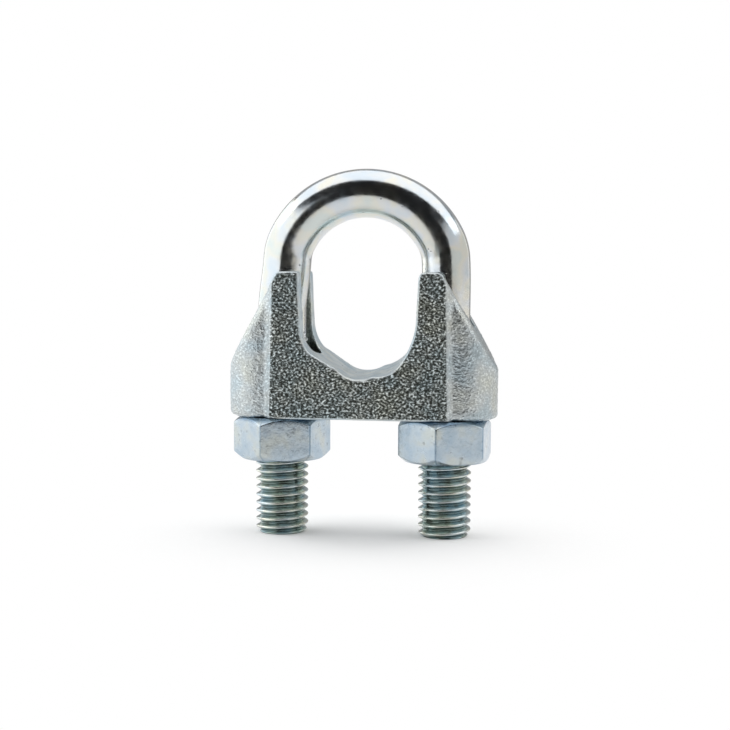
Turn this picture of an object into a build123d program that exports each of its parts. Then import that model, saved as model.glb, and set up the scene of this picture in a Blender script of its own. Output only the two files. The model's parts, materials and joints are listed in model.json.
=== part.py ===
from build123d import *

import math
import os

# Wire rope clip: a threaded U-bolt, a cast saddle that rides on its legs, and two hexagon nuts.
# Frame: millimetres, +Z up. The clip stands on its two leg ends, with the origin on that plane midway
# between the legs. X runs from leg to leg, and Y runs along the rope.

# ---- U-bolt ----
LEG_OFFSET = 15.35          # each leg's axis, from the middle
ROD_RADIUS = 4.475          # plain rod, as rolled before threading
BOW_TOP = 63.5              # height of the rod's axis at the top of the bow
BOW_SHOULDER_RADIUS = 9.0   # rod axis, at each shoulder of the bow
BOW_CROWN_RADIUS = 15.5     # rod axis, over the crown
BOW_HALF_SPAN = 14.8        # rod axis at the foot of the bow, from the bow's own middle
BOW_SHIFT = 0.45            # the bend sits this far to the right of the middle of the legs
BOW_LEAN = 3.5              # degrees that the rod leans inwards where the bow starts

# ---- M10 x 1.5 right-hand thread ----
PITCH = 1.5
FLANK = math.tan(math.radians(30))
CREST_RADIUS = 4.925
ROOT_RADIUS = 4.04
CREST_FLAT = 0.22
THREAD_TOP = 37.5           # end of the thread run-out, up the leg
LEG_TOP = 41.5              # the leg is straight up to here
RUN_OUT = 1.8
LEG_END_RADIUS = 4.1        # flat left inside the chamfer at the foot of each leg
TOOL_MARGIN = 0.2           # by how much a cutting profile is oversize
THREAD_ANGLE = {"left": -68.0, "right": 30.0}    # where each leg's crest meets its end plane, in degrees

# ---- saddle ----
SADDLE_BOTTOM = 22.1
SADDLE_TOP = 49.1
SADDLE_HALF_LENGTH = 25.1
PLATE_HALF_DEPTH = 8.0      # front and back plates
BOSS_HALF_DEPTH = 7.05      # rounded end bosses, set back from the plates
PLATE_FOOT = 16.35          # half-width of a plate at the bottom
PLATE_HEAD = 15.8           # half-width of a plate at the tips of the horns
FLANK_HEIGHT = 31.3         # where the sloping flank meets the upright end
FLANK_SLOPE = 0.57          # run outwards for each unit of drop
HORN_CORNER = 1.2
BOSS_EDGE = 1.6
FOOT_EDGE = 0.9
HOLE_RADIUS = 5.4           # leg holes, stretched inwards into short slots
HOLE_INNER = 13.5           # centre of each slot's inner end

# ---- rope seat: a channel between the horns with a strand-grooved floor ----
SEAT_HEIGHT = 39.7          # centre of the seat's round part
SEAT_WIDTH = 10.5           # half-width at that height
SEAT_MOUTH = 11.0           # half-width between the tips of the horns
SEAT_BULGE = 0.55           # how far the foot of the right wall bows out
SEAT_FRONT = [              # (X, Z) round the floor, from the left wall to the foot of the right one
    (-10.55, 39.0), (-10.3, 36.9), (-9.0, 34.3), (-3.7, 31.2),
    (-0.4, 29.5), (2.5, 30.1), (6.1, 30.9), (7.8, 32.7),
]
SEAT_BACK = [
    (-10.45, 39.0), (-10.0, 36.9), (-8.6, 34.5), (-3.8, 31.4),
    (-0.5, 30.2), (3.1, 31.2), (6.0, 32.4), (7.8, 34.2),
]

# ---- nuts ----
NUT_FLATS = 15.9
NUT_HEIGHT = 8.0
NUT_CORNER = 0.6
NUT_FACE_RADIUS = 7.6       # flat ring inside the chamfer
NUT_CHAMFER = math.tan(math.radians(40))
NUT_TURN = {"left": 14.4, "right": 23.8}
THREAD_GAP = 0.125          # radial, over the leg's crest
FLANK_GAP = 0.19            # axial, both flanks together
BORE_MINOR = 4.25
BORE_MOUTH = 5.35

SIDES = {"left": -1, "right": 1}


def thread_core(crest, root, crest_flat, low, high, angle):
    """A bar along Z, threaded in full from low to high by helical bands, a turn at a time."""
    rise = (crest - root) * FLANK
    crest_height = PITCH - rise - crest_flat / 2
    outline = [
        (root, 0),
        (root, crest_height - crest_flat / 2 - rise),
        (crest, crest_height - crest_flat / 2),
        (crest, crest_height + crest_flat / 2),
        (root, PITCH),
    ]
    start = low - 1.5 * PITCH
    turns = math.ceil((high - start) / PITCH) + 1

    def helix(radius, height):
        return (Pos(0, 0, height) * Helix(PITCH, PITCH, radius)).edge()

    faces = []
    for turn in range(turns):
        edges = [helix(radius, height + turn * PITCH) for radius, height in outline]
        faces += [Face.make_surface_from_curves(*pair) for pair in zip(edges, edges[1:])]
    for height in (0, turns * PITCH):
        foot, head = (0, 0, height), (0, 0, height + PITCH)
        faces.append(Face.make_surface_from_curves(Edge.make_line(foot, head), helix(root, height)))
        profile = [(radius, 0, height + rising) for radius, rising in outline]
        faces.append(Face(Wire.make_polygon([foot, *profile, head])))
    turned_by = angle + 360 * (start + crest_height) / PITCH
    return Pos(0, 0, start) * Rot(0, 0, turned_by) * Solid(Shell(faces))


def turned(*outline):
    """A solid of revolution about Z from (radius, height) points."""
    profile = Plane.XZ * make_face(Polyline(*outline, close=True))
    return revolve(profile, Axis.Z)


def leg(side):
    """One threaded leg, with its chamfered end at Z = 0 and a run-out at the top."""
    grown = CREST_RADIUS + TOOL_MARGIN
    bar = thread_core(CREST_RADIUS, ROOT_RADIUS, CREST_FLAT, 0, THREAD_TOP, THREAD_ANGLE[side])
    envelope = turned(
        (0, 0),
        (LEG_END_RADIUS, 0),
        (grown, grown - LEG_END_RADIUS),
        (grown, THREAD_TOP - RUN_OUT),
        (ROOT_RADIUS, THREAD_TOP),
        (0, THREAD_TOP),
    )
    neck = turned(
        (0, THREAD_TOP - RUN_OUT),
        (ROOT_RADIUS - TOOL_MARGIN, THREAD_TOP - RUN_OUT),
        (ROD_RADIUS, THREAD_TOP - RUN_OUT / 3),
        (ROD_RADIUS, THREAD_TOP),
        (0, THREAD_TOP),
    )
    return Pos(SIDES[side] * LEG_OFFSET, 0, 0) * ((bar & envelope) + neck)


def bow_path():
    """The rod's axis from the top of one thread to the other: shoulders and crown are tangent arcs."""
    lean = math.radians(BOW_LEAN)
    crown_less = BOW_CROWN_RADIUS - BOW_SHOULDER_RADIUS
    shoulder_x = BOW_HALF_SPAN - BOW_SHOULDER_RADIUS * math.cos(lean)
    crown_z = BOW_TOP - BOW_CROWN_RADIUS
    turn = math.acos(shoulder_x / crown_less)
    shoulder_z = crown_z + crown_less * math.sin(turn)

    def on_shoulder(side, angle):
        reach = shoulder_x + BOW_SHOULDER_RADIUS * math.cos(angle)
        return BOW_SHIFT + side * reach, shoulder_z + BOW_SHOULDER_RADIUS * math.sin(angle)

    edges = []
    for side in (-1, 1):
        foot = on_shoulder(side, lean)
        plain = Line((side * LEG_OFFSET, THREAD_TOP), (side * LEG_OFFSET, LEG_TOP))
        upright = Spline(
            (side * LEG_OFFSET, LEG_TOP),
            foot,
            tangents=[(0, 1), (-side * math.sin(lean), math.cos(lean))],
        )
        shoulder = ThreePointArc(foot, on_shoulder(side, (lean + turn) / 2), on_shoulder(side, turn))
        edges += [plain, upright, shoulder]
    edges.append(ThreePointArc(on_shoulder(-1, turn), (BOW_SHIFT, BOW_TOP), on_shoulder(1, turn)))
    return Plane.XZ * Wire(Curve(edges).edges())


def u_bolt():
    path = bow_path()
    start = Plane(origin=path.position_at(0), z_dir=path.tangent_at(0))
    bow = sweep(start * Circle(ROD_RADIUS), path=path)
    return bow + [leg(side) for side in SIDES]


def plate_block():
    """The middle of the saddle: front and back plates, drafted, with a bevel down each side."""
    bevel = PLATE_HALF_DEPTH - BOSS_HALF_DEPTH

    def section(half_width, height):
        wide, deep = half_width + bevel, PLATE_HALF_DEPTH - bevel
        corners = [(half_width, PLATE_HALF_DEPTH), (wide, deep)]
        corners += [(x, -y) for x, y in reversed(corners)]
        corners += [(-x, -y) for x, y in corners]
        return Pos(0, 0, height) * make_face(Polyline(*corners, close=True))

    return loft([section(PLATE_FOOT, SADDLE_BOTTOM), section(PLATE_HEAD, SADDLE_TOP)], ruled=True)


def saddle_outline():
    """The saddle seen along the rope, before the seat is cut: upright ends, sloping flanks, flat tips."""
    tip = SADDLE_HALF_LENGTH - FLANK_SLOPE * (SADDLE_TOP - FLANK_HEIGHT)
    right = [(SADDLE_HALF_LENGTH, SADDLE_BOTTOM), (SADDLE_HALF_LENGTH, FLANK_HEIGHT), (tip, SADDLE_TOP)]
    left = [(-x, z) for x, z in reversed(right)]
    return make_face(Polyline(*right, *left, close=True))


def end_bosses():
    """The rounded ends, with the edges of their flanks and feet rounded over."""
    height = SADDLE_TOP - SADDLE_BOTTOM
    plan = SlotOverall(2 * SADDLE_HALF_LENGTH, 2 * BOSS_HALF_DEPTH)
    prism = Pos(0, 0, SADDLE_BOTTOM) * extrude(plan, height)
    bosses = prism & extrude(Plane.XZ * saddle_outline(), PLATE_HALF_DEPTH, both=True)
    foot = bosses.faces().sort_by(Axis.Z)[0].edges()
    bosses = fillet(foot, FOOT_EDGE)
    planes = bosses.faces().filter_by(GeomType.PLANE)
    flanks = [face for face in planes if 0 < face.normal_at().Z < 1]
    top = SADDLE_TOP - TOOL_MARGIN
    sides = [edge for face in flanks for edge in face.edges() if edge.center().Z < top]
    return fillet(sides, BOSS_EDGE)


def seat_outline(floor_line):
    """The rope channel's section: straight walls over a floor of shallow strand grooves."""
    left_wall, left_bend, left_groove, left_ridge, floor, right_ridge, right_groove, right_edge = floor_line
    spring = (SEAT_WIDTH, SEAT_HEIGHT)
    mouth = SADDLE_TOP + 1
    chord = Vector(*spring) - Vector(*right_edge)
    right_bend = Vector(*right_edge) + chord / 2 + chord.rotate(Axis.Z, -90).normalized() * SEAT_BULGE
    edges = [
        Line((-SEAT_MOUTH, mouth), left_wall),
        ThreePointArc(left_wall, left_bend, left_groove),
        Line(left_groove, left_ridge),
        ThreePointArc(left_ridge, floor, right_ridge),
        ThreePointArc(right_ridge, right_groove, right_edge),
        ThreePointArc(right_edge, right_bend, spring),
        Line(spring, (SEAT_MOUTH, mouth)),
        Line((SEAT_MOUTH, mouth), (-SEAT_MOUTH, mouth)),
    ]
    return make_face(edges)


def rope_seat():
    """The channel itself. Its grooves are cast as rough strand marks, a little shallower at the back."""
    front = Plane.XZ.offset(PLATE_HALF_DEPTH) * seat_outline(SEAT_FRONT)
    back = Plane.XZ.offset(-PLATE_HALF_DEPTH) * seat_outline(SEAT_BACK)
    return loft([front, back], ruled=True)


def leg_hole(side):
    """A slot down through the saddle, open to the seat on one side and through the flank on the other."""
    height = SADDLE_TOP - SADDLE_BOTTOM + 2
    outer = Pos(LEG_OFFSET, 0) * Circle(HOLE_RADIUS)
    inner = Pos(HOLE_INNER, 0) * Circle(HOLE_RADIUS)
    middle = Pos((LEG_OFFSET + HOLE_INNER) / 2, 0) * Rectangle(LEG_OFFSET - HOLE_INNER, 2 * HOLE_RADIUS)
    slot = Pos(0, 0, SADDLE_BOTTOM - 1) * extrude(outer + inner + middle, height)
    return slot if side == "right" else slot.mirror(Plane.YZ)


def saddle():
    blank = plate_block() + end_bosses()
    blank = blank & extrude(Plane.XZ * saddle_outline(), PLATE_HALF_DEPTH, both=True)
    tips = blank.edges().filter_by(Axis.Y).group_by(Axis.Z)[-1]
    blank = fillet(tips, HORN_CORNER)
    cut = blank - rope_seat()
    inner_tips = cut.edges().filter_by(Axis.Y).group_by(Axis.Z)[-1].sort_by(lambda e: abs(e.center().X))[:2]
    cut = fillet(inner_tips, HORN_CORNER)
    return cut - leg_hole("left") - leg_hole("right")


def nut(side):
    """A hexagon nut, chamfered on both faces, its thread in mesh with its own leg."""
    low, high = SADDLE_BOTTOM - NUT_HEIGHT, SADDLE_BOTTOM
    plan = RegularPolygon(NUT_FLATS / 2, 6, major_radius=False, rotation=NUT_TURN[side])
    blank = extrude(fillet(plan.vertices(), NUT_CORNER), NUT_HEIGHT)
    reach = NUT_FACE_RADIUS + NUT_HEIGHT / 2 / NUT_CHAMFER
    barrel = turned(
        (0, 0),
        (NUT_FACE_RADIUS, 0),
        (reach, NUT_HEIGHT / 2),
        (NUT_FACE_RADIUS, NUT_HEIGHT),
        (0, NUT_HEIGHT),
    )
    core_flat = CREST_FLAT - 2 * THREAD_GAP * FLANK + FLANK_GAP
    crest = CREST_RADIUS + THREAD_GAP
    core = thread_core(crest, BORE_MINOR, core_flat, low, high, THREAD_ANGLE[side])
    inner = BORE_MINOR - TOOL_MARGIN
    mouth = BORE_MOUTH - inner
    countersinks = [
        turned((0, z), (BORE_MOUTH, z), (inner, z + step * mouth), (0, z + step * mouth))
        for z, step in ((low, 1), (high, -1))
    ]
    body = Pos(0, 0, low) * (blank & barrel) - core - countersinks
    return Pos(SIDES[side] * LEG_OFFSET, 0, 0) * body


def main():
    os.makedirs("parts", exist_ok=True)
    pieces = {"u_bolt": u_bolt(), "saddle": saddle()}
    for side in SIDES:
        pieces[f"nut_{side}"] = nut(side)
    for name, piece in pieces.items():
        export_step(piece, f"parts/{name}.step")


main()
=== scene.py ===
import json
import math

import bmesh
import bpy
import numpy as np
from mathutils import Matrix, Vector, noise


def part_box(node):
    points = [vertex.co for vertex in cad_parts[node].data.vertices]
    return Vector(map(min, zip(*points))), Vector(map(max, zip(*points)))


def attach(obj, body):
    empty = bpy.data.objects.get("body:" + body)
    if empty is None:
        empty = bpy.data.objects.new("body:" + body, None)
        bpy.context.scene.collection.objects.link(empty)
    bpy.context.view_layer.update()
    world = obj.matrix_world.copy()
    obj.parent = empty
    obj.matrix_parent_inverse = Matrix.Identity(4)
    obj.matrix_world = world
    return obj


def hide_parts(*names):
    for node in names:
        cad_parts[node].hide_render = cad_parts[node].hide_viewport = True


# The looks of a zinc-plated wire rope clip: a threaded U-bolt, a cast saddle and two hexagon nuts.

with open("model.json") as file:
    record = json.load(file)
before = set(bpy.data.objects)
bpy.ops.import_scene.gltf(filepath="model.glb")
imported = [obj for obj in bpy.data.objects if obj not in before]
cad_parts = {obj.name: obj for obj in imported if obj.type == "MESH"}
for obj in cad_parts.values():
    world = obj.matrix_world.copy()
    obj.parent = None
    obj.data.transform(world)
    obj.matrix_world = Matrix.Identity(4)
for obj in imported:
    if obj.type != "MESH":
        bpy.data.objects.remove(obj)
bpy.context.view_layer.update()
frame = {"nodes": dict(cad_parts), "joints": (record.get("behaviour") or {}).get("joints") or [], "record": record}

MM = 0.001
JOINTS = {joint["name"]: joint for joint in frame["joints"]}
COUPLING = frame["record"]["behaviour"]["couplings"][0]
SADDLE_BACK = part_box("saddle")[1].y

# Leg axes, thread pitch and the heights of the pieces come from the frame, in metres.
LEG_X = {side: JOINTS[f"nut_{side}_spin"]["pos_m"][0] for side in ("left", "right")}
PITCH = 2 * math.pi / COUPLING["ratio"]
BOW_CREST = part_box("u_bolt")[1].z
NUT_FOOT, NUT_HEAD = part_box("nut_left")[0].z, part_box("nut_left")[1].z

# Rod and thread
ROD = 4.475 * MM
CREST = 4.925 * MM
ROOT = 4.04 * MM
CREST_FLAT = 0.22 * MM
FLANK = math.tan(math.radians(30))
CREST_ROUND = 0.10 * MM
ROOT_ROUND = 0.16 * MM
THREAD_TOP = 37.5 * MM
LEG_TOP = 41.5 * MM
RUN_OUT = 1.8 * MM
RUN_OUT_ROUND = 0.06 * MM
RUN_OUT_ROOT_ROUND = 0.04 * MM
LEG_END = 4.15 * MM
LEG_END_ROUND = 0.2 * MM
LEG_END_SHARES = (0.0, 0.35, 0.7, 0.93)
THREAD_ANGLE = {"left": math.radians(-68), "right": math.radians(30)}
ROD_SEGMENTS = 92
ROD_STEP = PITCH / 15
ROD_MERGE = 0.002 * MM

# The bow's centre line: shoulders and crown are tangent arcs
SHOULDER = 9.0 * MM
CROWN = 15.5 * MM
HALF_SPAN = 14.8 * MM
BOW_SHIFT = 0.45 * MM
BOW_LEAN = math.radians(3.5)
PLAIN_POINTS = 8
LEAN_POINTS = 24
SHOULDER_POINTS = 24
CROWN_POINTS = 56

# Nuts
FLATS = 15.9 * MM
NUT_CORNER = 0.6 * MM
NUT_FACE = 7.6 * MM
NUT_EDGE = 0.14 * MM
NUT_CHAMFER = math.tan(math.radians(40))
NUT_TURN = {"left": math.radians(14.4), "right": math.radians(23.8)}
BORE_MINOR = 4.25 * MM
BORE_MAJOR = 5.05 * MM
BORE_MOUTH = 5.35 * MM
BORE_FLAT = 0.27 * MM
BORE_MOUTH_ROUND = 0.05 * MM
NUT_SEGMENTS = 360
NUT_STEP = PITCH / 16
NUT_ROUNDING = (0, NUT_EDGE, NUT_EDGE, NUT_EDGE, NUT_EDGE, 0)
NUT_ROWS_BETWEEN = (5, 2, 8, 2, 5)
NUT_MERGE = 0.0005 * MM

# Painted shade on a nut, under the saddle at its head and along its six corners, and a darker band along its foot:
# its strength, and how far from the edge each patch reaches
CORNER_SHADE = 0.85
CORNER_REACH = math.radians(2.2)
FOOT_DARK = 0.8
FOOT_REACH = (0.05 * MM, 0.55 * MM)
HEAD_REACH = (1.3 * MM, 0.3 * MM)

# Saddle casting: remeshed, smoothed and then given its grain
VOXEL = 0.26 * MM
SMOOTHING = 5
GRAIN = 0.8 * MM
GRAIN_DEPTH = 0.11 * MM
SWELL_DEPTH = 0.10 * MM
SEAT_REACH = 11.4 * MM
SEAT_FLOOR = 28.5 * MM
PLATE_EDGE = 14.6 * MM

# Coarseness comes and goes between these shares of a normal facing along y, and of the saddle's half depth
PLATE_SLOPE = (0.86, 0.96)
PLATE_DEPTH = (0.93, 0.97)
END_DEPTH = (0.87, 0.93)
SEAT_SLOPE = 0.7
# The rope seat is painted lighter where its normal's share along y is below this
SEAT_BRIGHT_SLOPE = 0.22
END_COARSENESS = 0.55
LEAST_COARSENESS = 0.04

# Camera, in metres and radians, with its lens and sensor in millimetres as Blender takes them
LENS = 70.88
SENSOR = 36.0
CAMERA_DISTANCE = 0.26717
CAMERA_HEIGHT = 0.05194
CAMERA_AZIMUTH = math.radians(7.772)
CAMERA_YAW = math.radians(0.066)
CAMERA_TILT = math.radians(4.341)
CAMERA_ROLL = math.radians(0.283)

# Studio, in metres
FLOOR_HALF_WIDTH = 0.9
FLOOR_FRONT = -0.29
FLOOR_BACK = 0.6
FLOOR_GLOW = 0.12
FLOOR_FADE = (0.012, 0.052)
ROOM_GLOW = 0.015


# ---------- numbers ----------


def soft_min(a, b, reach):
    """The smaller of a and b, rounded off over reach."""
    blend = np.clip(0.5 + 0.5 * (b - a) / reach, 0, 1)
    return b + (a - b) * blend - reach * blend * (1 - blend)


def soft_max(a, b, reach):
    """The larger of a and b, rounded off over reach."""
    return -soft_min(-a, -b, reach)


def ramp_up(values, low, high):
    """0 below low and 1 above high, with a straight rise between them."""
    return np.clip((values - low) / (high - low), 0, 1)


def thread_radius(height, angle, start, crest, root, crest_flat):
    """A right-hand thread's radius at that height and angle, with crests and roots a little rounded."""
    phase = height / PITCH - (angle - start) / (2 * math.pi)
    away = np.abs(phase - np.round(phase)) * PITCH
    flank = crest - (away - crest_flat / 2) / FLANK
    return soft_max(soft_min(flank, crest, CREST_ROUND), root, ROOT_ROUND)


def leg_radius(height, angle, side):
    """A leg's radius: chamfered at its end, threaded, and easing into plain rod over the run-out."""
    radius = thread_radius(height, angle, THREAD_ANGLE[side], CREST, ROOT, CREST_FLAT)
    fade = (height - (THREAD_TOP - RUN_OUT)) / RUN_OUT
    crest = CREST + RUN_OUT_ROUND - (CREST - ROD) * np.clip(fade, 0, 1)
    root = ROOT + (ROD - ROOT) * np.clip(1.5 * fade, 0, 1)
    radius = soft_max(soft_min(radius, crest, RUN_OUT_ROUND), root, RUN_OUT_ROOT_ROUND)
    radius = np.where(height > THREAD_TOP, ROD, radius)
    return soft_min(radius, LEG_END + height, LEG_END_ROUND)


# ---------- meshes ----------


def mesh_object(name, vertices, faces):
    mesh = bpy.data.meshes.new(name)
    mesh.from_pydata(vertices, [], faces)
    mesh.update()
    mesh.shade_smooth()
    piece = bpy.data.objects.new(name, mesh)
    bpy.context.scene.collection.objects.link(piece)
    return piece


def ring_faces(rings, segments, closed):
    """Quads between neighbouring rings, and from the last ring back to the first if closed."""
    faces = []
    for ring in range(rings if closed else rings - 1):
        low, high = ring * segments, (ring + 1) % rings * segments
        for i in range(segments):
            j = (i + 1) % segments
            faces.append((low + i, low + j, high + j, high + i))
    return faces


def bow_half():
    """The right half of the bow about its own middle, as (x, z): up the shoulder's arc, then the crown's."""
    arc = CROWN - SHOULDER
    shoulder_x = HALF_SPAN - SHOULDER * math.cos(BOW_LEAN)
    turn = math.acos(shoulder_x / arc)
    crown_z = BOW_CREST - ROD - CROWN
    shoulder_z = crown_z + arc * math.sin(turn)
    low = np.linspace(BOW_LEAN, turn, SHOULDER_POINTS)[:, None]
    high = np.linspace(turn, math.pi / 2, CROWN_POINTS)[1:, None]
    shoulder = (shoulder_x, shoulder_z) + SHOULDER * np.hstack([np.cos(low), np.sin(low)])
    crown = (0, crown_z) + CROWN * np.hstack([np.cos(high), np.sin(high)])
    return np.vstack([shoulder, crown])


def lower_bow(side, top):
    """From the thread's top up plain rod, then along an eased lean to just short of the shoulder at top."""
    start = np.array([LEG_X[side], LEG_TOP])
    span = np.linalg.norm(top - start)
    inward = 1 if side == "left" else -1
    up = np.array([0, span])
    lean = span * np.array([inward * math.sin(BOW_LEAN), math.cos(BOW_LEAN)])
    t = np.linspace(0, 1, LEAN_POINTS)[:-1, None]
    eased = (2 * t**3 - 3 * t**2 + 1) * start + (t**3 - 2 * t**2 + t) * up
    eased += (3 * t**2 - 2 * t**3) * top + (t**3 - t**2) * lean
    rise = np.linspace(THREAD_TOP, LEG_TOP, PLAIN_POINTS)[:-1]
    straight = np.column_stack([np.full(len(rise), LEG_X[side]), rise])
    return np.vstack([straight, eased])


def bow_line():
    """Points on the rod's axis from the left thread's top to the right one's, as (x, z), and tangents."""
    left = bow_half() * (-1, 1) + (BOW_SHIFT, 0)
    right = bow_half() + (BOW_SHIFT, 0)
    left = np.vstack([lower_bow("left", left[0]), left])
    right = np.vstack([lower_bow("right", right[0]), right])
    line = np.vstack([left, right[-2::-1]])
    tangent = np.gradient(line, axis=0)
    tangent[0], tangent[-1] = (0, 1), (0, -1)
    return line, tangent / np.linalg.norm(tangent, axis=1)[:, None]


def leg_rings(side, angles):
    """Rings round one leg: the few that close its end, then up to the top of its thread."""
    # the first point of each ring faces the other leg, so that the rings run on over the bow
    turned = angles if side == "left" else math.pi - angles
    rings = []
    for height in np.arange(0, THREAD_TOP, ROD_STEP):
        level = np.full(ROD_SEGMENTS, height)
        radius = leg_radius(level, turned, side)
        ring = [LEG_X[side] + radius * np.cos(turned), radius * np.sin(turned), level]
        rings.append(np.column_stack(ring))
    middle = np.array([LEG_X[side], 0, 0])
    return [middle + (rings[0] - middle) * share for share in LEG_END_SHARES] + rings


def bow_rings(angles):
    """Rings square to the rod's axis, from the left thread's top over the bow to the right one's."""
    rings = []
    for (x, z), (tx, tz) in zip(*bow_line()):
        inward = np.array([tz, 0, -tx])
        spoke = np.cos(angles)[:, None] * inward + np.sin(angles)[:, None] * np.array([0, 1, 0])
        rings.append(np.array([x, 0, z]) + ROD * spoke)
    return rings


def u_bolt():
    """One skin from the foot of the left leg, over the bow, to the foot of the right one."""
    angles = np.linspace(0, 2 * math.pi, ROD_SEGMENTS, endpoint=False)
    rings = leg_rings("left", angles) + bow_rings(angles) + leg_rings("right", angles)[::-1]
    faces = ring_faces(len(rings), ROD_SEGMENTS, False)
    piece = mesh_object("u_bolt_rod", np.vstack(rings).tolist(), faces)
    merge_doubles(piece, ROD_MERGE)
    store(piece.data, "thread", thread_depth(mesh_points(piece.data)))
    return piece


def thread_depth(points):
    """From 0.25 on the thread's crests to 1 in its roots, and 0 on plain rod."""
    off_axis = np.abs(points[:, None, 0] - list(LEG_X.values())).min(axis=1)
    radius = np.hypot(off_axis, points[:, 1])
    depth = np.clip((CREST - radius) / (CREST - ROOT), 0, 1)
    return np.where(points[:, 2] < THREAD_TOP - RUN_OUT / 2, 0.25 + 0.75 * depth, 0.0)


def merge_doubles(piece, reach):
    """Joins points that coincide, such as the rings shrunk to a point at a leg's end."""
    work = bmesh.new()
    work.from_mesh(piece.data)
    bmesh.ops.remove_doubles(work, verts=work.verts, dist=reach)
    bmesh.ops.recalc_face_normals(work, faces=work.faces)
    work.to_mesh(piece.data)
    work.free()


def off_corner(angles):
    """How far each angle is from the nearest corner of a hexagon with a corner at 0."""
    return np.abs((angles + math.pi / 6) % (math.pi / 3) - math.pi / 6)


def hexagon_radius(angles):
    """The radius of a hexagon with rounded corners, at each angle from a corner."""
    inner = FLATS / 2
    corner = off_corner(angles)
    off_flat = math.pi / 6 - corner
    flat = inner / np.cos(off_flat)
    centre = (inner - NUT_CORNER) / math.cos(math.pi / 6)
    arc = centre * np.cos(corner) + np.sqrt(np.maximum(NUT_CORNER**2 - (centre * np.sin(corner)) ** 2, 0))
    arc_start = math.atan((inner - NUT_CORNER) * math.tan(math.pi / 6) / inner)
    return np.where(off_flat > arc_start, arc, flat)


def towards(start, end, reach):
    """Steps of that reach from each row of start towards the same row of end."""
    way = end - start
    return way / np.linalg.norm(way, axis=1)[:, None] * reach


def rounded_profile(corners, rounding, between):
    """Rows of (radius, height) along a profile of corners, each corner eased by its own rounding."""
    rows = []
    for n, corner in enumerate(corners):
        if rounding[n] == 0:
            rows.append(corner)
        else:
            back = towards(corner, corners[n - 1], rounding[n])
            ahead = towards(corner, corners[n + 1], rounding[n])
            for t in (0, 0.2, 0.4, 0.6, 0.8, 1):
                rows.append(corner + back * (1 - t) ** 2 + ahead * t**2)
        if n < len(corners) - 1:
            start, corner_ahead = rows[-1], corners[n + 1]
            end = corner_ahead + towards(corner_ahead, start, rounding[n + 1])
            for t in np.linspace(0, 1, between[n] + 2)[1:-1]:
                rows.append(start + (end - start) * t)
    return rows


def nut_outside(side, angles):
    """Rows of the nut's outside, from the bore's mouth at its head to the one at its foot."""
    outer = hexagon_radius(angles - NUT_TURN[side])
    drop = (outer - NUT_FACE) * NUT_CHAMFER
    full = np.ones(len(angles))
    corners = [
        np.column_stack([BORE_MOUTH * full, NUT_HEAD * full]),
        np.column_stack([NUT_FACE * full, NUT_HEAD * full]),
        np.column_stack([outer, NUT_HEAD - drop]),
        np.column_stack([outer, NUT_FOOT + drop]),
        np.column_stack([NUT_FACE * full, NUT_FOOT * full]),
        np.column_stack([BORE_MOUTH * full, NUT_FOOT * full]),
    ]
    return rounded_profile(corners, NUT_ROUNDING, NUT_ROWS_BETWEEN)


def nut_bore(side, angles):
    """Rows of the nut's internal thread, from its foot to its head, opening into a countersink at each."""
    rows = []
    for height in np.linspace(NUT_FOOT, NUT_HEAD, int((NUT_HEAD - NUT_FOOT) / NUT_STEP))[1:-1]:
        groove = thread_radius(height, angles, THREAD_ANGLE[side], BORE_MAJOR, BORE_MINOR, BORE_FLAT)
        mouth = BORE_MOUTH - min(height - NUT_FOOT, NUT_HEAD - height)
        radius = soft_max(groove, mouth, BORE_MOUTH_ROUND)
        rows.append(np.column_stack([radius, np.full(len(angles), height)]))
    return rows


def nut(side):
    """A hexagon nut: chamfered faces, rounded edges and a real internal thread."""
    angles = np.linspace(0, 2 * math.pi, NUT_SEGMENTS, endpoint=False)
    rings = []
    for radius, height in (row.T for row in nut_outside(side, angles) + nut_bore(side, angles)):
        ring = [LEG_X[side] + radius * np.cos(angles), radius * np.sin(angles), height]
        rings.append(np.column_stack(ring))
    faces = ring_faces(len(rings), NUT_SEGMENTS, True)
    piece = mesh_object(f"hex_nut_{side}", np.vstack(rings).tolist(), faces)
    merge_doubles(piece, NUT_MERGE)
    # keeps the painted shade under the saddle and along the corners, and the darker foot
    store(piece.data, "dark", nut_shade_and_dark_foot(mesh_points(piece.data) - (LEG_X[side], 0, 0), side))
    return piece


def nut_shade_and_dark_foot(points, side):
    """Painted shade, full under the saddle and less along the six corners, and a darkening, also less than full,
    along the foot.
    """
    angle = np.arctan2(points[:, 1], points[:, 0]) - NUT_TURN[side]
    height = points[:, 2]
    corner = CORNER_SHADE * (1 - ramp_up(off_corner(angle), 0, CORNER_REACH))
    head = ramp_up(height, NUT_HEAD - HEAD_REACH[0], NUT_HEAD - HEAD_REACH[1])
    foot = FOOT_DARK * (1 - ramp_up(height, NUT_FOOT + FOOT_REACH[0], NUT_FOOT + FOOT_REACH[1]))
    return np.maximum(np.maximum(head, foot), corner)


def remeshed_saddle():
    """A copy of the CAD saddle's skin in small even faces, so that it can be smoothed and grained."""
    source = bpy.data.objects.new("saddle_source", frame["nodes"]["saddle"].data.copy())
    bpy.context.scene.collection.objects.link(source)
    remesh = source.modifiers.new("remesh", "REMESH")
    remesh.mode, remesh.voxel_size = "VOXEL", VOXEL
    depsgraph = bpy.context.evaluated_depsgraph_get()
    mesh = bpy.data.meshes.new_from_object(source.evaluated_get(depsgraph))
    bpy.data.objects.remove(source)
    mesh.materials.clear()
    mesh.name = "saddle_casting"
    return mesh


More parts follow.
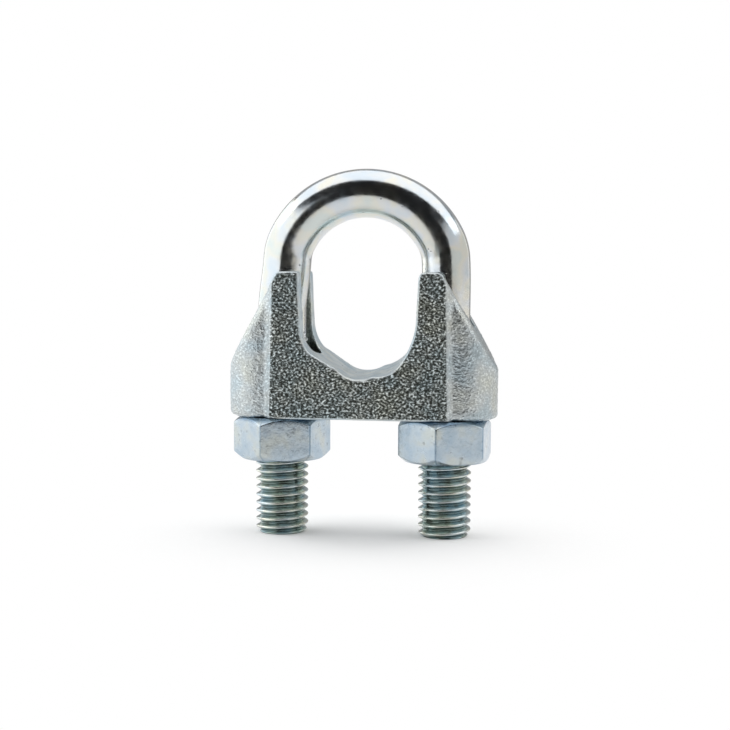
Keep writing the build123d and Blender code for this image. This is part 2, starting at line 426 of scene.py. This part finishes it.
def saddle():
    """The CAD saddle with its edges rounded off, and a cast grain everywhere but in the rope seat."""
    mesh = remeshed_saddle()
    piece = bpy.data.objects.new("saddle_casting", mesh)
    bpy.context.scene.collection.objects.link(piece)
    points = mesh_points(mesh)
    smooth_points(mesh, points, SMOOTHING)
    set_points(mesh, points)
    normals = mesh_normals(mesh)
    coarse = castness(points, normals)
    points += grain(points, normals, coarse)
    set_points(mesh, points)
    store(mesh, "coarse", coarse)
    # the upward-facing part of the rope seat, which the material paints lighter
    store(mesh, "seat", in_seat(points, normals) & (np.abs(normals[:, 1]) < SEAT_BRIGHT_SLOPE))
    mesh.shade_smooth()
    return piece


def mesh_points(mesh):
    points = np.empty(len(mesh.vertices) * 3)
    mesh.vertices.foreach_get("co", points)
    return points.reshape(-1, 3)


def set_points(mesh, points):
    mesh.vertices.foreach_set("co", points.ravel())
    mesh.update()


def mesh_normals(mesh):
    normals = np.empty(len(mesh.vertices) * 3)
    mesh.vertices.foreach_get("normal", normals)
    return normals.reshape(-1, 3)


def smooth_points(mesh, points, rounds):
    """Moves every point halfway to the middle of its neighbours, that many times over."""
    edges = np.empty(len(mesh.edges) * 2, int)
    mesh.edges.foreach_get("vertices", edges)
    a, b = edges.reshape(-1, 2).T
    count = np.bincount(a, minlength=len(points)) + np.bincount(b, minlength=len(points))
    for _ in range(rounds):
        middle = np.zeros_like(points)
        for axis in range(3):
            middle[:, axis] = np.bincount(a, points[b, axis], len(points))
            middle[:, axis] += np.bincount(b, points[a, axis], len(points))
        points += 0.5 * (middle / count[:, None] - points)


def castness(points, normals):
    """From 0 on smooth skin to 1 on coarse skin: plates coarse, ends finer, rims and seat smooth."""
    depth = np.abs(points[:, 1]) / SADDLE_BACK
    plate = ramp_up(np.abs(normals[:, 1]), *PLATE_SLOPE) * ramp_up(depth, *PLATE_DEPTH)
    ends = np.where(np.abs(points[:, 0]) > PLATE_EDGE, 1.0, 1 - ramp_up(depth, *END_DEPTH))
    coarse = np.maximum(plate, END_COARSENESS * ends) + LEAST_COARSENESS
    return np.where(in_seat(points, normals), 0.0, coarse)


def in_seat(points, normals):
    """Whether each point is on the rope channel's wall, and not on the plates in front and behind."""
    within = (np.abs(points[:, 0]) < SEAT_REACH) & (points[:, 2] > SEAT_FLOOR)
    return within & (np.abs(normals[:, 1]) < SEAT_SLOPE)


def grain(points, normals, coarse_share):
    """How far each point moves out or in: lumps and pits where the skin is coarse, over a slow swell."""
    lift = np.empty(len(points))
    for n, point in enumerate(points / GRAIN):
        where = Vector(point)
        coarse = noise.noise(where)
        fine = noise.noise(where * 1.9 + Vector((5, 1, 3)))
        lift[n] = coarse_share[n] * GRAIN_DEPTH * (0.8 * coarse + 0.7 * fine)
        lift[n] += SWELL_DEPTH * noise.noise(where * 0.17)
    return normals * lift[:, None]


def store(mesh, name, values):
    """Keeps one number for each point, for the material to read."""
    mesh.attributes.new(name, "FLOAT", "POINT").data.foreach_set("value", values.astype(np.float32))


# ---------- materials ----------


class Nodes:
    """Short ways to add and join shader nodes in one material."""

    def __init__(self, name):
        self.material = bpy.data.materials.new(name)
        self.material.use_nodes = True
        self.tree = self.material.node_tree
        self.tree.nodes.clear()
        self.place = self.add("TexCoord").outputs["Object"]

    def add(self, kind, **settings):
        """A new node of that kind, such as Bump, with its settings."""
        node = self.tree.nodes.new("ShaderNode" + kind)
        for name, value in settings.items():
            setattr(node, name, value)
        return node

    def join(self, a, b):
        self.tree.links.new(a, b)

    def noise(self, size, detail=2.0, stretch=(1, 1, 1)):
        """Noise whose lumps are about that large, in metres."""
        mapping = self.add("Mapping")
        mapping.inputs["Scale"].default_value = [axis / size for axis in stretch]
        self.join(self.place, mapping.inputs["Vector"])
        texture = self.add("TexNoise")
        texture.inputs["Scale"].default_value = 1.0
        texture.inputs["Detail"].default_value = detail
        self.join(mapping.outputs["Vector"], texture.inputs["Vector"])
        return texture.outputs["Fac"]

    def pits(self, size, share):
        """Round pits about that far apart: 1 on the skin, falling to 0 in the few that are deep."""
        texture = self.add("TexVoronoi")
        texture.inputs["Scale"].default_value = 1 / size
        self.join(self.place, texture.inputs["Vector"])
        return self.ramp(texture.outputs["Distance"], [(0.0, 0.0), (share, 1.0)])

    def ramp(self, value, stops):
        """Maps a value through stops of (position, grey or colour)."""
        node = self.add("ValToRGB")
        ramp = node.color_ramp
        while len(ramp.elements) < len(stops):
            ramp.elements.new(0.5)
        for element, (position, colour) in zip(ramp.elements, stops):
            element.position = position
            element.color = (*colour, 1) if isinstance(colour, tuple) else (colour, colour, colour, 1)
        self.join(value, node.inputs["Fac"])
        return node.outputs["Color"]

    def stored(self, name):
        """A number kept for each point of the mesh by store()."""
        return self.add("Attribute", attribute_name=name).outputs["Fac"]

    def mixed(self, share, a, b):
        """a where share is 0 and b where it is 1, for greys or colours."""
        node = self.add("Mix", data_type="RGBA")
        self.join(share, node.inputs["Factor"])
        self.join(a, node.inputs["A"])
        self.join(b, node.inputs["B"])
        return node.outputs["Result"]

    def multiply(self, a, b):
        """The product of two greys or colours."""
        node = self.add("Mix", data_type="RGBA", blend_type="MULTIPLY")
        node.inputs["Factor"].default_value = 1.0
        self.join(a, node.inputs["A"])
        self.join(b, node.inputs["B"])
        return node.outputs["Result"]

    def bump(self, height, depth, below=None, share=None):
        """The normal of a relief depth metres deep, over the one below, in full or only by share."""
        node = self.add("Bump")
        node.inputs["Strength"].default_value = 1.0
        if share is not None:
            self.join(share, node.inputs["Strength"])
        node.inputs["Distance"].default_value = depth
        self.join(height, node.inputs["Height"])
        if below is not None:
            self.join(below, node.inputs["Normal"])
        return node.outputs["Normal"]

    def metal(self, colour, roughness, normal):
        """The finished material, as a metal."""
        shader = self.add("BsdfPrincipled")
        shader.inputs["Metallic"].default_value = 1.0
        self.join(colour, shader.inputs["Base Color"])
        self.join(roughness, shader.inputs["Roughness"])
        self.join(normal, shader.inputs["Normal"])
        return self.surface(shader.outputs["BSDF"])

    def mixed_shader(self, share, a, b):
        """a where share is 0 and b where it is 1, for shaders."""
        node = self.add("MixShader")
        self.join(share, node.inputs[0])
        self.join(a, node.inputs[1])
        self.join(b, node.inputs[2])
        return node.outputs["Shader"]

    def surface(self, shader):
        """Makes that shader the surface, and gives the finished material."""
        self.join(shader, self.add("OutputMaterial").inputs["Surface"])
        return self.material


def rod_zinc():
    """Bright plating on drawn rod, with small pits and pale stains; painted shade darkens the thread towards its
    roots, and its crests are painted a touch lighter.
    """
    nodes = Nodes("rod_zinc")
    tint = nodes.ramp(
        nodes.noise(5.0 * MM, 2.0),
        [
            (0.34, (0.54, 0.60, 0.65)),
            (0.46, (0.61, 0.63, 0.64)),
            (0.56, (0.65, 0.64, 0.58)),
            (0.68, (0.58, 0.62, 0.60)),
        ],
    )
    dull = nodes.pits(2.4 * MM, 0.09)
    colour = nodes.multiply(tint, nodes.ramp(dull, [(0.0, 0.3), (1.0, 1.0)]))
    thread = nodes.stored("thread")
    # painted shade, darker towards the thread's roots, and a touch of painted light on its crests
    shade = nodes.ramp(
        thread,
        [(0.0, 1.0), (0.3, (1.05, 1.05, 1.02)), (0.7, (0.76, 0.84, 0.85)), (1.0, (0.28, 0.33, 0.34))],
    )
    colour = nodes.multiply(colour, shade)
    grime = nodes.ramp(
        nodes.noise(1.0 * MM, 4.0, (0.5, 0.5, 1.6)),
        [(0.33, (0.34, 0.33, 0.28)), (0.45, (0.92, 0.96, 0.90)), (0.62, (0.80, 0.96, 1.0))],
    )
    colour = nodes.mixed(thread, colour, nodes.multiply(colour, grime))
    roughness = nodes.ramp(nodes.noise(1.4 * MM, 4.0), [(0.3, 0.13), (0.7, 0.22)])
    normal = nodes.bump(nodes.noise(1.3 * MM, 3.0), 0.014 * MM)
    normal = nodes.bump(nodes.noise(0.35 * MM, 2.0), 0.005 * MM, normal)
    normal = nodes.bump(dull, 0.04 * MM, normal)
    return nodes.metal(colour, roughness, normal)


def cast_zinc():
    """Plating over a sand casting, with painted shade in the grain's hollows and painted glints on its high spots;
    its smooth rims stay bright, and the rope seat is painted lighter.
    """
    nodes = Nodes("cast_zinc")
    coarse = nodes.stored("coarse")
    skin = nodes.ramp(
        nodes.noise(5 * MM, 2.0),
        [(0.35, (0.54, 0.62, 0.66)), (0.52, (0.63, 0.67, 0.68)), (0.68, (0.65, 0.67, 0.63))],
    )
    lumps = nodes.noise(0.40 * MM, 2.0, (0.85, 1.0, 1.1))
    # painted shade in the hollows of the bumped grain and painted glints on its high spots
    grain_shade_and_glint = nodes.ramp(
        lumps,
        [(0.41, (0.07, 0.07, 0.06)), (0.54, (0.33, 0.34, 0.32)), (0.66, (1.28, 1.28, 1.25))],
    )
    # how much of the painted shade and glints each part gets: full on the plates, less on the ends, hardly any on
    # the rims and none in the seat
    grain_shade_share = nodes.ramp(coarse, [(0.0, 0.0), (0.6, 0.34), (1.0, 1.0)])
    colour = nodes.mixed(grain_shade_share, skin, nodes.multiply(skin, grain_shade_and_glint))
    # painted light on the upward faces of the rope seat
    seat_light = nodes.ramp(nodes.noise(2.2 * MM, 3.0), [(0.35, (1.02, 1.12, 1.18)), (0.65, (1.38, 1.40, 1.40))])
    colour = nodes.mixed(nodes.stored("seat"), colour, nodes.multiply(skin, seat_light))
    roughness = nodes.ramp(nodes.noise(0.9 * MM, 3.0), [(0.3, 0.27), (0.7, 0.38)])
    normal = nodes.bump(lumps, 0.34 * MM, share=coarse)
    normal = nodes.bump(nodes.noise(0.25 * MM, 2.0), 0.008 * MM, normal)
    return nodes.metal(colour, roughness, normal)


def nut_zinc():
    """Satin plating on forged steel, faintly blue, with small dark stains and scuffs, painted shade under the
    saddle and along the corners, and a darker foot.
    """
    nodes = Nodes("nut_zinc")
    tint = nodes.ramp(
        nodes.noise(3.5 * MM, 3.0),
        [(0.32, (0.39, 0.48, 0.56)), (0.50, (0.47, 0.54, 0.59)), (0.66, (0.52, 0.56, 0.55))],
    )
    stain = nodes.ramp(nodes.noise(1.1 * MM, 5.0), [(0.27, 0.5), (0.38, 1.0)])
    pitted = nodes.ramp(nodes.pits(1.7 * MM, 0.09), [(0.0, 0.35), (1.0, 1.0)])
    # painted shade in dark blue under the saddle and along the corners, and a darker foot
    dark = nodes.ramp(nodes.stored("dark"), [(0.3, 1.0), (0.9, (0.42, 0.52, 0.62))])
    colour = nodes.multiply(nodes.multiply(nodes.multiply(tint, stain), pitted), dark)
    roughness = nodes.ramp(nodes.noise(0.9 * MM, 4.0), [(0.3, 0.18), (0.7, 0.29)])
    normal = nodes.bump(nodes.noise(1.6 * MM, 4.0), 0.05 * MM)
    normal = nodes.bump(nodes.noise(0.3 * MM, 3.0), 0.008 * MM, normal)
    return nodes.metal(colour, roughness, normal)


# ---------- pieces ----------


def fit(piece, node, material):
    """The piece stands for that CAD node, moves with its body and has that material."""
    piece.data.materials.clear()
    piece.data.materials.append(material)
    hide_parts(node)
    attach(piece, node)


fit(u_bolt(), "u_bolt", rod_zinc())
fit(saddle(), "saddle", cast_zinc())
nut_material = nut_zinc()
for side in LEG_X:
    fit(nut(side), f"nut_{side}", nut_material)


# ---------- studio ----------


def floor_paper():
    """Pale paper near the object. Further off it shows plain white to the camera, and from below nothing."""
    nodes = Nodes("floor_paper")
    paper = nodes.add("BsdfPrincipled")
    paper.inputs["Base Color"].default_value = (0.9, 0.9, 0.9, 1)
    paper.inputs["Roughness"].default_value = 0.9
    paper.inputs["Specular IOR Level"].default_value = 0.1
    paper.inputs["Emission Color"].default_value = (1, 1, 1, 1)
    paper.inputs["Emission Strength"].default_value = FLOOR_GLOW
    distance = nodes.add("VectorMath", operation="LENGTH")
    nodes.join(nodes.place, distance.inputs[0])
    far = nodes.add("MapRange")
    far.inputs["From Min"].default_value, far.inputs["From Max"].default_value = FLOOR_FADE
    nodes.join(distance.outputs["Value"], far.inputs["Value"])
    far_and_seen = nodes.add("Math", operation="MULTIPLY")
    nodes.join(far.outputs["Result"], far_and_seen.inputs[0])
    nodes.join(nodes.add("LightPath").outputs["Is Camera Ray"], far_and_seen.inputs[1])
    white = nodes.add("Emission").outputs["Emission"]
    above = nodes.mixed_shader(far_and_seen.outputs["Value"], paper.outputs["BSDF"], white)
    nothing = nodes.add("BsdfTransparent").outputs["BSDF"]
    return nodes.surface(nodes.mixed_shader(nodes.add("NewGeometry").outputs["Backfacing"], above, nothing))


def floor():
    """A pale floor from just behind the camera to far behind the object."""
    side, front, back = FLOOR_HALF_WIDTH, FLOOR_FRONT, FLOOR_BACK
    corners = [(-side, front, 0), (side, front, 0), (side, back, 0), (-side, back, 0)]
    sheet = mesh_object("studio_floor", corners, [(0, 1, 2, 3)])
    sheet.data.materials.append(floor_paper())


def softbox(name, place, aim, size, radiance, colour=(1, 1, 1)):
    """A rectangular light of that size, in metres, as bright as a surface of that radiance."""
    light = bpy.data.lights.new(name, "AREA")
    light.shape, light.size, light.size_y = "RECTANGLE", size[0], size[1]
    light.energy = radiance * math.pi * size[0] * size[1]
    light.color = colour
    lamp = bpy.data.objects.new(name, light)
    lamp.location = place
    lamp.rotation_euler = (Vector(aim) - Vector(place)).to_track_quat("-Z", "Y").to_euler()
    lamp.visible_camera = False
    bpy.context.scene.collection.objects.link(lamp)


def room():
    """White where the camera looks past the floor, and dim to every other ray."""
    world = bpy.data.worlds.new("room")
    bpy.context.scene.world = world
    world.use_nodes = True
    nodes, links = world.node_tree.nodes, world.node_tree.links
    nodes.clear()
    path = nodes.new("ShaderNodeLightPath")
    seen, dim = nodes.new("ShaderNodeBackground"), nodes.new("ShaderNodeBackground")
    seen.inputs["Color"].default_value = (1, 1, 1, 1)
    dim.inputs["Color"].default_value = (ROOM_GLOW, ROOM_GLOW, ROOM_GLOW, 1)
    mix = nodes.new("ShaderNodeMixShader")
    output = nodes.new("ShaderNodeOutputWorld")
    links.new(path.outputs["Is Camera Ray"], mix.inputs["Fac"])
    links.new(dim.outputs["Background"], mix.inputs[1])
    links.new(seen.outputs["Background"], mix.inputs[2])
    links.new(mix.outputs["Shader"], output.inputs["Surface"])


def camera():
    """The camera at the photograph's viewing angle, looking a little down on the object."""
    data = bpy.data.cameras.new("camera")
    data.lens, data.sensor_width = LENS, SENSOR
    data.clip_start, data.clip_end = 0.01, 10.0
    eye = bpy.data.objects.new("camera", data)
    facing = CAMERA_AZIMUTH - CAMERA_YAW
    forward = Vector((-math.sin(facing) * math.cos(CAMERA_TILT), math.cos(facing) * math.cos(CAMERA_TILT), 0))
    forward.z = -math.sin(CAMERA_TILT)
    right = Vector((math.cos(facing), math.sin(facing), 0))
    up = right.cross(forward)
    turned = Matrix((right, up, -forward)).transposed() @ Matrix.Rotation(CAMERA_ROLL, 3, "Z")
    place = Vector((math.sin(CAMERA_AZIMUTH), -math.cos(CAMERA_AZIMUTH), 0)) * CAMERA_DISTANCE
    place.z = CAMERA_HEIGHT
    eye.matrix_world = Matrix.Translation(place) @ turned.to_4x4()
    bpy.context.scene.collection.objects.link(eye)
    bpy.context.scene.camera = eye


floor()
softbox("top", (0, 0.07, 0.46), (0, 0.07, 0), (1.5, 0.56), 1.5)
softbox("back", (0, 0.66, 0.42), (0, 0, 0.42), (1.3, 0.84), 0.42)
softbox("left", (-0.46, -0.20, 0.21), (0, -0.20, 0.21), (1.60, 0.42), 1.5, (0.95, 0.98, 1.0))
softbox("right", (0.48, -0.08, 0.21), (0, -0.08, 0.21), (1.40, 0.42), 0.78, (1.0, 0.99, 0.97))
room()
camera()
bpy.context.scene.view_settings.view_transform = "Standard"

bpy.context.view_layer.update()
